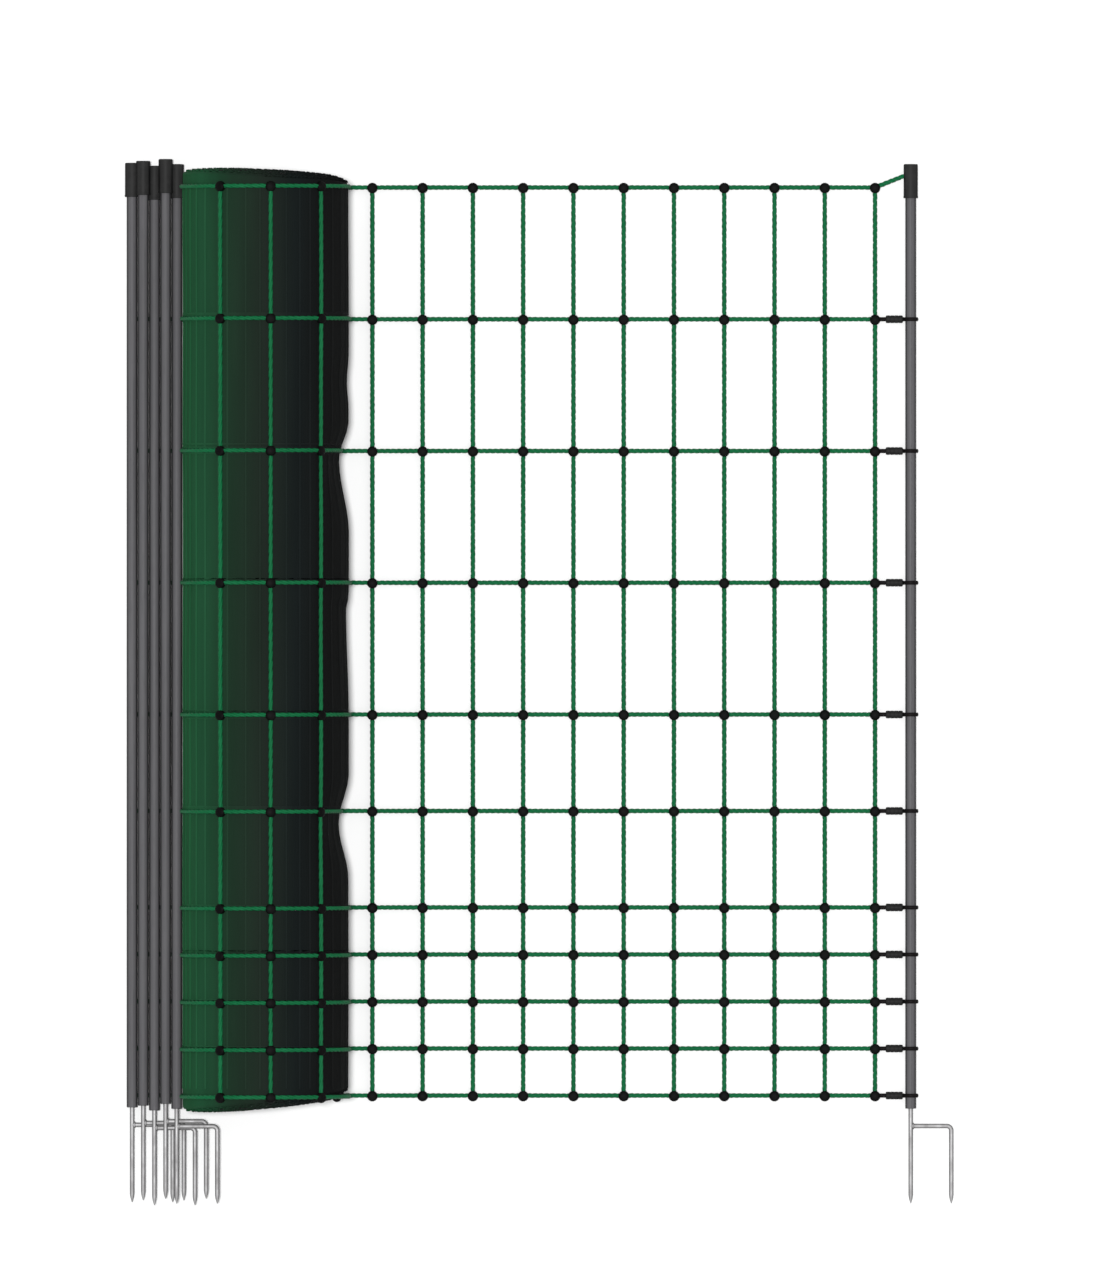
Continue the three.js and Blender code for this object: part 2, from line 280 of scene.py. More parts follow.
@dataclass(frozen=True)
class Lay:
    """How a cord is made: plies twisted round each other, or one plain ply."""

    plies: int
    ply_radius: float
    lay_radius: float
    pitch: float
    sides: int
    step: float

    def cord(self, name: str, length: float) -> Object:
        """Makes a straight cord along X from the origin, by sweeping its plies' sections.

        Args:
            name: The new object's name.
            length: The cord's length.

        Returns:
            The cord as one mesh, closed at both ends.
        """
        rounds = []
        for ply in range(self.plies):
            angle = 2 * math.pi * ply / self.plies
            place = (0, self.lay_radius * math.cos(angle), self.lay_radius * math.sin(angle))
            deselect_all()
            bpy.ops.mesh.primitive_circle_add(
                vertices=self.sides,
                radius=self.ply_radius,
                location=place,
                rotation=(0, QUARTER_TURN, 0),
            )
            rounds.append(bpy.context.object)
        piece = settle(join(name, rounds))
        sweep = piece.modifiers.new("Sweep", "SCREW")
        sweep.axis = "X"
        sweep.angle = 2 * math.pi * length / self.pitch if self.pitch else 0.0
        sweep.screw_offset = length
        sweep.steps = sweep.render_steps = max(2, round(length / self.step))
        sweep.use_merge_vertices = False
        activate(piece)
        bpy.ops.object.modifier_apply(modifier=sweep.name)
        bpy.ops.object.mode_set(mode="EDIT")
        bpy.ops.mesh.select_all(action="SELECT")
        bpy.ops.mesh.fill_holes(sides=0)
        bpy.ops.mesh.select_all(action="SELECT")
        bpy.ops.mesh.normals_make_consistent(inside=False)
        bpy.ops.object.mode_set(mode="OBJECT")
        return smooth(piece, 80)


# Where the pieces lie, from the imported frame


def middle_of(node: str) -> Vector:
    """The middle of the box of one of the frame's nodes."""
    low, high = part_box(node)
    return (low + high) / 2


@dataclass(frozen=True)
class NetLayout:
    """The net's grid, placed from the frame's net, end post and clips."""

    strut_count: int = 14
    strut_pitch: float = 0.062
    meshes: tuple[float, ...] = (0.058,) * 4 + (0.119,) * 2 + (0.1625,) * 4
    end_post_offset: float = 0.044
    knot_reach: float = 0.0075
    knot_drop: float = 0.0007
    tail_below_cap_top: float = 0.01125
    cord_z: float = 0.0057

    @property
    def last_strut(self) -> float:
        """Where the strut nearest the end post stands, along X."""
        return middle_of("end_post_rod").x - self.end_post_offset

    @property
    def strut_places(self) -> list[float]:
        """Where the struts stand, along X."""
        count = self.strut_count
        return [self.last_strut - (count - 1 - index) * self.strut_pitch for index in range(count)]

    @property
    def strand_heights(self) -> list[float]:
        """How far each strand is above the bottom one, from that one up."""
        return [sum(self.meshes[:index]) for index in range(len(self.meshes) + 1)]

    @property
    def strand_places(self) -> list[float]:
        """Where the strands run, along Y, from the bottom one up."""
        low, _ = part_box("net")
        return [low.y + self.knot_reach + height for height in self.strand_heights]

    @property
    def height(self) -> float:
        """From the bottom strand to the top one."""
        return sum(self.meshes)


@dataclass(frozen=True)
class PostFrame:
    """Where one post lies: its own frame has the rod's foot at the origin and the rod along Y."""

    suffix: str
    prefix: str = "post"

    def node(self, part: str) -> str:
        """The name of the post's rod, cap or spike in the frame."""
        return f"{self.prefix}_{part}{self.suffix}"

    @property
    def matrix(self) -> Matrix:
        """From the post's own frame to the row's."""
        rod, cap, spike = (middle_of(self.node(part)) for part in ("rod", "cap", "spike"))
        slope = math.atan2(cap.z - spike.z, cap.y - spike.y)
        along = Vector((0, math.cos(slope), math.sin(slope)))
        foot = rod - along * (PostSizes().rod_length / 2)
        return Matrix.Translation(foot) @ Matrix.Rotation(slope, 4, "X")


@dataclass(frozen=True)
class PostSizes:
    """The sizes of one post's pieces."""

    rod_radius: float = 0.00675
    rod_length: float = 1.142
    rod_edge: float = 0.0008
    rod_sides: int = 32
    cap_radius: float = 0.00875
    cap_foot: float = 1.1228
    cap_length: float = 0.042
    cap_edge: float = 0.0014
    cap_clearance: float = 0.0001
    cap_foot_inset: float = 0.0002
    cap_foot_slope: float = 0.0005
    cap_lip: float = 0.0003
    cap_lip_height: float = 0.0022
    cap_lip_slope: float = 0.0004
    cap_dimple: float = 0.0022
    cap_dimple_depth: float = 0.0005
    wire_radius: float = 0.00275
    wire_sides: int = 16
    point_length: float = 0.0105
    point_stages: tuple[tuple[float, float], ...] = ((1.0, 1.0), (0.8, 0.62), (0.48, 0.3))
    point_radius: float = 0.0004
    spike_length: float = 0.117
    stem_in_rod: float = 0.009
    step_bar_drop: float = 0.0215
    prong_offset: float = 0.05
    bend_radius: float = 0.0055
    bend_steps: int = 8
    weld_radius: float = 0.0012
    weld_clearance: float = 0.0002


# Shader building


@dataclass(frozen=True)
class FlankShade:
    """Painted shade on flanks and undersides: the share of a colour left there, and how far up a face is
    unshaded or fully shaded.
    """

    left: float = 0.6
    unshaded_above: float = 0.5
    shaded_below: float = 0.1


class Shade:
    """A material under construction, with short names for adding and linking its nodes."""

    def __init__(self, name: str) -> None:
        """Starts a material that holds a principled shader.

        Args:
            name: The material's name.
        """
        self.material = bpy.data.materials.new(name)
        self.material.use_nodes = True
        self.tree = self.material.node_tree
        self.tree.nodes.clear()
        self.shader = self.tree.nodes.new("ShaderNodeBsdfPrincipled")
        output = self.tree.nodes.new("ShaderNodeOutputMaterial")
        self.tree.links.new(self.shader.outputs["BSDF"], output.inputs["Surface"])
        where = self.tree.nodes.new("ShaderNodeTexCoord")
        self.coordinates, self.normal = where.outputs["Object"], where.outputs["Normal"]

    def node(self, kind: str, **values: object) -> bpy.types.Node:
        """Adds a node and sets its properties and its inputs of the same names.

        Args:
            kind: The node's type.
            **values: Properties, or inputs with underscores for spaces.

        Returns:
            The node.
        """
        made = self.tree.nodes.new(kind)
        for key, value in values.items():
            if hasattr(made, key):
                setattr(made, key, value)
            else:
                made.inputs[key.replace("_", " ")].default_value = value
        return made

    def group(self, tree: NodeTree, **values: float) -> bpy.types.Node:
        """Places a shared node group with this material's own values.

        Args:
            tree: The group.
            **values: The group's inputs, with underscores for spaces.

        Returns:
            The placed group, with the object's coordinates linked in.
        """
        made = self.tree.nodes.new("ShaderNodeGroup")
        made.node_tree = tree
        self.link(self.coordinates, made.inputs["Vector"])
        for key, value in values.items():
            made.inputs[key.replace("_", " ")].default_value = value
        return made

    def link(self, source: Socket, target: Socket) -> None:
        """Links one socket to another."""
        self.tree.links.new(source, target)

    def set(self, **values: object) -> None:
        """Sets inputs of the principled shader, with underscores for spaces."""
        for key, value in values.items():
            self.shader.inputs[key.replace("_", " ")].default_value = value

    def blend(self, factor: Socket, first: Colour, second: Colour) -> Socket:
        """Mixes two colours by a mask that changes over the surface.

        Args:
            factor: The mask, 0 for the first colour.
            first: The linear colour where the mask is 0.
            second: The linear colour where the mask is 1.

        Returns:
            The mixed colour's socket.
        """
        mix = self.tree.nodes.new("ShaderNodeMix")
        mix.data_type = "RGBA"
        mix.inputs["A"].default_value = (*first, 1)
        mix.inputs["B"].default_value = (*second, 1)
        self.link(factor, mix.inputs["Factor"])
        return mix.outputs["Result"]

    def flank_shaded(self, colour: Socket, tree: NodeTree, flank_shade: FlankShade) -> Socket:
        """Paints shade on a colour: darkens it on flanks and undersides.

        Args:
            colour: The colour without its painted shade.
            tree: The painted flank shade's node group.
            flank_shade: Where the painted shade is, and what it leaves of the colour.

        Returns:
            The darkened colour's socket.
        """
        # Painted shade: faces turned away from up are darkened, as light from above leaves them.
        made = self.group(tree, Clean_Above=flank_shade.unshaded_above, Full_Below=flank_shade.shaded_below)
        self.link(self.normal, made.inputs["Vector"])
        mix = self.tree.nodes.new("ShaderNodeMix")
        mix.data_type = "RGBA"
        mix.blend_type = "MULTIPLY"
        mix.inputs["Factor"].default_value = 1.0
        self.link(colour, mix.inputs["A"])
        self.link(self.span(made.outputs["Unshaded"], flank_shade.left, 1.0), mix.inputs["B"])
        return mix.outputs["Result"]

    def span(self, value: Socket, low: float, high: float) -> Socket:
        """Spreads a value from 0 to 1 over another range.

        Args:
            value: The value's socket.
            low: What 0 becomes.
            high: What 1 becomes.

        Returns:
            The spread value's socket.
        """
        spread = self.node("ShaderNodeMapRange", To_Min=low, To_Max=high)
        self.link(value, spread.inputs["Value"])
        return spread.outputs["Result"]

    def bump(self, height: Socket, distance: float) -> None:
        """Gives the surface relief from a height between 0 and 1.

        Args:
            height: The height's socket.
            distance: How deep the relief is, in metres.
        """
        relief = self.node("ShaderNodeBump", Distance=distance, Strength=1.0)
        self.link(height, relief.inputs["Height"])
        self.link(relief.outputs["Normal"], self.shader.inputs["Normal"])


def new_group(name: str, inputs: dict[str, float], outputs: tuple[str, ...]) -> NodeTree:
    """Starts a shared node group that reads a place and some numbers.

    Args:
        name: The group's name.
        inputs: Names and defaults of its number inputs.
        outputs: Names of its number outputs.

    Returns:
        The group, with its input and output nodes.
    """
    tree = bpy.data.node_groups.new(name, "ShaderNodeTree")
    tree.interface.new_socket(name="Vector", in_out="INPUT", socket_type="NodeSocketVector")
    for key, value in inputs.items():
        socket = tree.interface.new_socket(name=key, in_out="INPUT", socket_type="NodeSocketFloat")
        socket.default_value = value
    for key in outputs:
        tree.interface.new_socket(name=key, in_out="OUTPUT", socket_type="NodeSocketFloat")
    tree.nodes.new("NodeGroupInput")
    tree.nodes.new("NodeGroupOutput")
    return tree


def stretched_place(tree: NodeTree) -> Socket:
    """The place that a group reads, scaled along Y by the group's Stretch."""
    nodes, links = tree.nodes, tree.links
    source = nodes["Group Input"]
    scale = nodes.new("ShaderNodeCombineXYZ")
    scale.inputs["X"].default_value = 1
    scale.inputs["Z"].default_value = 1
    links.new(source.outputs["Stretch"], scale.inputs["Y"])
    stretched = nodes.new("ShaderNodeVectorMath")
    stretched.operation = "MULTIPLY"
    links.new(source.outputs["Vector"], stretched.inputs[0])
    links.new(scale.outputs["Vector"], stretched.inputs[1])
    return stretched.outputs["Vector"]


def grain_group() -> NodeTree:
    """Moulded or drawn plastic's skin: a soft mottle and a fine grain, stretched along Y as asked."""
    inputs = {"Mottle Scale": 30.0, "Grain Scale": 900.0, "Stretch": 1.0}
    tree = new_group("Surface grain", inputs, ("Mottle", "Grain"))
    nodes, links = tree.nodes, tree.links
    place = stretched_place(tree)
    for scale, detail, name in (("Mottle Scale", 3.0, "Mottle"), ("Grain Scale", 2.0, "Grain")):
        noise = nodes.new("ShaderNodeTexNoise")
        noise.inputs["Detail"].default_value = detail
        links.new(place, noise.inputs["Vector"])
        links.new(nodes["Group Input"].outputs[scale], noise.inputs["Scale"])
        links.new(noise.outputs["Fac"], nodes["Group Output"].inputs[name])
    return tree


def wear_group() -> NodeTree:
    """Scuffs and dull spots: a mask of sparse smears whose share of the surface can be set."""
    tree = new_group("Handling wear", {"Scale": 40.0, "Share": 0.3, "Stretch": 1.0}, ("Mask",))
    nodes, links = tree.nodes, tree.links
    source = nodes["Group Input"]
    noise = nodes.new("ShaderNodeTexNoise")
    noise.inputs["Detail"].default_value = 6.0
    noise.inputs["Roughness"].default_value = 0.65
    links.new(stretched_place(tree), noise.inputs["Vector"])
    links.new(source.outputs["Scale"], noise.inputs["Scale"])
    floor = nodes.new("ShaderNodeMath")
    floor.operation = "SUBTRACT"
    floor.inputs[0].default_value = 0.75
    links.new(source.outputs["Share"], floor.inputs[1])
    mask = nodes.new("ShaderNodeMapRange")
    mask.inputs["From Max"].default_value = 0.8
    links.new(noise.outputs["Fac"], mask.inputs["Value"])
    links.new(floor.outputs["Value"], mask.inputs["From Min"])
    links.new(mask.outputs["Result"], nodes["Group Output"].inputs["Mask"])
    return tree


def flank_group() -> NodeTree:
    """Painted shade on flanks and undersides: 1 on surfaces that face up, down to 0 on those that don't."""
    tree = new_group("Painted flank shade", {"Clean Above": 0.75, "Full Below": 0.45}, ("Unshaded",))
    nodes, links = tree.nodes, tree.links
    source, sink = nodes["Group Input"], nodes["Group Output"]
    split = nodes.new("ShaderNodeSeparateXYZ")
    links.new(source.outputs["Vector"], split.inputs["Vector"])
    spread = nodes.new("ShaderNodeMapRange")
    spread.interpolation_type = "SMOOTHSTEP"
    links.new(split.outputs["Z"], spread.inputs["Value"])
    links.new(source.outputs["Clean Above"], spread.inputs["From Max"])
    links.new(source.outputs["Full Below"], spread.inputs["From Min"])
    links.new(spread.outputs["Result"], sink.inputs["Unshaded"])
    return tree


@dataclass(frozen=True)
class Grain:
    """How fine a skin's mottle and grain are, and how far they are drawn out along Y (under 1)."""

    mottle: float = 60.0
    fine: float = 1400.0
    stretch: float = 1.0
    relief: float = 0.00006


@dataclass(frozen=True)
class Scuffs:
    """How small the scuffs are, what share of the surface they take, and how strongly they show."""

    scale: float = 70.0
    share: float = 0.28
    stretch: float = 1.0
    strength: float = 0.7


@dataclass(frozen=True)
class Coat:
    """A surface: its colour, its mottling, its scuffs, its painted shade on flanks and how it shines."""

    name: str
    body: Colour
    worn: Colour
    mottling: tuple[float, float] = (0.82, 1.12)
    grain: Grain = Grain()
    scuffs: Scuffs = Scuffs()
    # Painted shade on flanks and undersides.
    flank_shade: FlankShade = FlankShade()
    roughness: tuple[float, float] = (0.5, 0.7)
    gloss: float = 0.06
    metallic: float = 0.0


@dataclass(frozen=True)
class RolledCoat:
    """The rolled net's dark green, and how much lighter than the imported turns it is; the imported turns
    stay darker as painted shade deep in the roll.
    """

    name: str
    lift: float


# Painted shade across the roll: its dark green on the left falls to near black on the right, as if lit from
# the left.
ROLL_PAINTED_SHADE: tuple[tuple[float, Colour], ...] = (
    (0.0, display(30, 88, 52)),
    (0.12, display(34, 82, 54)),
    (0.3, display(32, 54, 40)),
    (0.5, display(33, 42, 36)),
    (0.68, display(24, 30, 30)),
    (0.85, display(23, 24, 24)),
)
# Painted shade on the flanks of black plastic, grey rods and steel wire.
BLACK_FLANK_SHADE = FlankShade(0.4, 0.74, 0.55)
ROD_FLANK_SHADE = FlankShade(0.36, 0.84, 0.6)
STEEL_FLANK_SHADE = FlankShade(0.34, 0.86, 0.6)
DRAWN = Grain(stretch=0.06)
WIRE_GRAIN = Grain(160.0, 1800.0, 0.25, 0.00005)
WIRE_SCUFFS = Scuffs(90.0, 0.34, 0.5, 1.0)


def steel(name: str, bright: Colour, dull: Colour) -> Coat:
    """Galvanised wire: bright metal with dull patches and drawing marks."""
    return Coat(
        name,
        bright,
        dull,
        mottling=(0.8, 1.0),
        grain=WIRE_GRAIN,
        scuffs=WIRE_SCUFFS,
        # Painted shade on the wire's flanks.
        flank_shade=STEEL_FLANK_SHADE,
        roughness=(0.34, 0.6),
        gloss=0.15,
        metallic=0.15,
    )


class Look(Enum):
    """The netting's finishes."""

    CORD = Coat("polywire green", display(18, 110, 65), display(34, 122, 78))
    KNOT = Coat("knot black", display(16, 16, 16), display(30, 30, 30), gloss=0.03)
    CAP = Coat("cap black", display(48, 48, 48), display(62, 62, 62), flank_shade=BLACK_FLANK_SHADE)
    CLIP = Coat("clip black", display(24, 21, 22), display(40, 38, 38), flank_shade=BLACK_FLANK_SHADE, gloss=0.04)
    SLEEVE = Coat("sleeve black", display(40, 40, 40), display(54, 54, 54), flank_shade=BLACK_FLANK_SHADE)
    ROD = Coat(
        "rod grey",
        display(102, 101, 104),
        display(118, 117, 119),
        grain=DRAWN,
        scuffs=Scuffs(stretch=0.06),
        flank_shade=ROD_FLANK_SHADE,
        roughness=(0.45, 0.65),
        gloss=0.1,
    )
    SPIKE = steel("spike steel", display(196, 195, 196), display(150, 148, 148))
    CONDUCTOR = steel("conductor steel", display(170, 175, 170), display(120, 128, 122))
    # Two copies of the roll's colours: the packed turns darker as painted shade deep in the roll, the inner
    # turns lighter.
    PACKED = RolledCoat("packed turns", 1.0)
    TURNS = RolledCoat("inner turns", 1.25)


@dataclass
class Finishes:
    """Every material of the netting, made once."""

    grain: NodeTree = field(default_factory=grain_group)
    wear: NodeTree = field(default_factory=wear_group)
    flank: NodeTree = field(default_factory=flank_group)
    made: dict[Look, Material] = field(default_factory=dict)

    def __post_init__(self) -> None:
        """Makes the materials."""
        for look in Look:
            coat = look.value
            make = self.rolled if isinstance(coat, RolledCoat) else self.coated
            self.made[look] = make(coat)

    def coated(self, coat: Coat) -> Material:
        """A surface with a faint mottle, a fine skin, sparse scuffs and painted shade on its flanks.

        Args:
            coat: What the surface looks like.

        Returns:
            The material.
        """
        shade = Shade(coat.name)
        grain, scuffs = coat.grain, coat.scuffs
        scales = {"Mottle_Scale": grain.mottle, "Grain_Scale": grain.fine}
        skin = shade.group(self.grain, Stretch=grain.stretch, **scales)
        wear = shade.group(self.wear, Scale=scuffs.scale, Share=scuffs.share, Stretch=scuffs.stretch)
        low, high = (tuple(share * value for value in coat.body) for share in coat.mottling)
        mix = shade.node("ShaderNodeMix", data_type="RGBA")
        shade.link(shade.span(wear.outputs["Mask"], 0.0, scuffs.strength), mix.inputs["Factor"])
        shade.link(shade.blend(skin.outputs["Mottle"], low, high), mix.inputs["A"])
        mix.inputs["B"].default_value = (*coat.worn, 1)
        # Painted shade: flanks and undersides are darkened.
        flank_shaded = shade.flank_shaded(mix.outputs["Result"], self.flank, coat.flank_shade)
        shade.link(flank_shaded, shade.shader.inputs["Base Color"])
        shade.link(shade.span(wear.outputs["Mask"], *coat.roughness), shade.shader.inputs["Roughness"])
        shade.set(Specular_IOR_Level=coat.gloss, Metallic=coat.metallic)
        shade.bump(skin.outputs["Grain"], grain.relief)
        return shade.material

    def rolled(self, coat: RolledCoat) -> Material:
        """The rolled net's dark green with painted shade, which falls to near black across the roll.

        Args:
            coat: The material's name and lightness.

        Returns:
            The material.
        """
        low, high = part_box("net_roll")
        shade = Shade(coat.name)
        skin = shade.group(self.grain, Mottle_Scale=45.0, Grain_Scale=700.0, Stretch=0.08)
        split = shade.node("ShaderNodeSeparateXYZ")
        shade.link(shade.coordinates, split.inputs["Vector"])
        # Painted shade: the colour darkens along X across the roll.
        across = shade.node("ShaderNodeMapRange", From_Min=low.x, From_Max=high.x)
        shade.link(split.outputs["X"], across.inputs["Value"])
        ramp = shade.node("ShaderNodeValToRGB")
        elements = ramp.color_ramp.elements
        while len(elements) < len(ROLL_PAINTED_SHADE):
            elements.new(0.5)
        for element, (place, colour) in zip(elements, ROLL_PAINTED_SHADE):
            element.position = place
            # The inner turns are a lighter copy of the packed turns, which stay darker as painted shade
            # deep in the roll.
            element.color = (*(coat.lift * value for value in colour), 1)
        shade.link(across.outputs["Result"], ramp.inputs["Fac"])
        streaks = shade.node("ShaderNodeMix", data_type="RGBA", blend_type="MULTIPLY")
        streaks.inputs["Factor"].default_value = 1.0
        shade.link(ramp.outputs["Color"], streaks.inputs["A"])
        shade.link(shade.span(skin.outputs["Mottle"], 0.75, 1.2), streaks.inputs["B"])
        shade.link(streaks.outputs["Result"], shade.shader.inputs["Base Color"])
        shade.set(Roughness=0.72, Specular_IOR_Level=0.02)
        shade.bump(skin.outputs["Grain"], 0.0004)
        return shade.material


def finish_piece(piece: Object, material: Material, slot: Slot, *nodes: str) -> Object:
    """Dresses a piece, makes it ride on the part and hides the frame's nodes that it stands for.

    Args:
        piece: The finished mesh object.
        material: Its material.
        slot: The record's slot that the material answers to; not used.
        *nodes: The frame's nodes that it replaces.

    Returns:
        The piece.
    """
    piece.data.materials.clear()
    piece.data.materials.append(material)
    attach(piece, BODY)
    if nodes:
        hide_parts(*nodes)
    log.info("%s: %d faces", piece.name, len(piece.data.polygons))
    return piece


# The netting


@dataclass(frozen=True)
class Knots:
    """The black plastic knots moulded round the crossings."""

    radius: float = 0.0067
    thickness: float = 0.0114
    edge: float = 0.0026
    sides: int = 14

    def pattern(self) -> Object:
        """One knot at the origin, lying flat: a thick disc with well-rounded rims."""
        deselect_all()
        bpy.ops.mesh.primitive_cylinder_add(vertices=self.sides, radius=self.radius, depth=self.thickness)
        knot = bpy.context.object
        edge = min(self.edge, self.thickness * 0.42)
        round_edges(knot, lambda first, second: first.z * second.z > 0, edge, 2)
        return smooth(knot, 50)


@dataclass
class Netting:
    """The bay of netting that lies flat: strands, struts, knots and the top strand's tail."""

    layout: NetLayout
    finishes: Finishes
    polywire: Lay = Lay(plies=3, ply_radius=0.0019, lay_radius=0.0012, pitch=0.021, sides=6, step=0.0036)
    twine: Lay = Lay(plies=3, ply_radius=0.0019, lay_radius=0.0012, pitch=0.024, sides=6, step=0.0044)
    conductor: Lay = Lay(plies=1, ply_radius=0.00022, lay_radius=0.0028, pitch=0.021, sides=4, step=0.0036)
    knots: Knots = Knots()

    def build(self) -> list[Object]:
        """Makes and dresses the bay.

        Returns:
            Its pieces.
        """
        layout = self.layout
        low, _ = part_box("net")
        start, end = low.x, layout.last_strut
        z = layout.cord_z
        lift = Vector((0, 0, z))
        wire = self.polywire.cord("strand_pattern", end - start)
        shine = self.conductor.cord("conductor_pattern", end - start)
        rows = [Vector((start, y, 0)) + lift for y in layout.strand_places]
        strands = [copy_of(wire, Matrix.Translation(place)) for place in rows]
        conductors = [copy_of(shine, Matrix.Translation(place)) for place in rows]
        strands.append(self.tail(z))
        turn = Matrix.Rotation(QUARTER_TURN, 4, "Z")
        post = self.twine.cord("strut_pattern", layout.height)
        feet = [Vector((x, layout.strand_places[0], 0)) + lift for x in layout.strut_places]
        struts = [copy_of(post, Matrix.Translation(place) @ turn) for place in feet]
        pattern = self.knots.pattern()
        drop = Vector((0, -layout.knot_drop, 0))
        places = [Vector((foot.x, y, z)) + drop for foot in feet for y in layout.strand_places]
        knots = [copy_of(pattern, Matrix.Translation(place)) for place in places]
        remove(wire, shine, post, pattern)
        made = self.finishes.made
        return [
            finish_piece(join("net_strands", strands), made[Look.CORD], Slot.NET, "net"),
            finish_piece(join("net_struts", struts), made[Look.CORD], Slot.NET),
            finish_piece(join("net_knots", knots), made[Look.KNOT], Slot.BLACK),
            finish_piece(join("net_conductors", conductors), made[Look.CONDUCTOR], Slot.STEEL),
        ]

    def tail(self, z: float) -> Object:
        """The end of the top strand, led from its last knot into the end post's cap.

        Args:
            z: The height of the strands.

        Returns:
            The tail, in place.
        """
        knot = Vector((self.layout.last_strut, self.layout.strand_places[-1], z))
        entry = middle_of("end_post_cap")
        entry.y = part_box("end_post_cap")[1].y - self.layout.tail_below_cap_top
        way = entry - knot
        turn = Vector((1, 0, 0)).rotation_difference(way).to_matrix().to_4x4()
        cord = self.polywire.cord("tail", way.length)
        cord.data.transform(Matrix.Translation(knot) @ turn)
        return cord


# The rolled-up net


@dataclass(frozen=True)
class Dent:
    """A place where the roll's right side is drawn in: its height, depth, and reach above and below."""

    height: float
    depth: float
    above: float
    below: float

    def at(self, heights: Points) -> Points:
        """How far the roll is drawn in at some heights."""
        offset = heights - self.height
        reach = np.where(offset > 0, self.above, self.below)
        share = np.clip(np.abs(offset) / reach, 0, 1)
        return self.depth * np.cos(share * math.pi / 2) ** 2


@dataclass(frozen=True)
class RollEnd:
    """One end of the roll: its rim's height, dome and slant, its cut right corner and its way along Y."""

    rim: float
    dome: float
    slant: float
    corner: float
    facing: int
    corner_start: float = 0.74
    corner_curve: float = 1.6

    def lean(self, across: Points) -> Points:
        """How much higher the end is at some distances to the right, as shares of the roll's radius."""
        near = np.clip((across - self.corner_start) / (1 - self.corner_start), 0, 1)
        return self.slant * across + self.corner * near**self.corner_curve

    def height(self, shares: Points, across: Points) -> Points:
        """How high the end's surface is.

        Args:
            shares: Distances from the roll's axis as shares of the wall's.
            across: The same distances measured to the right only.

        Returns:
            Heights above the bottom strand.
        """
        bulge = np.sqrt(np.clip(1 - shares**2, 0, 1))
        return self.rim + self.facing * self.dome * bulge + self.lean(across)


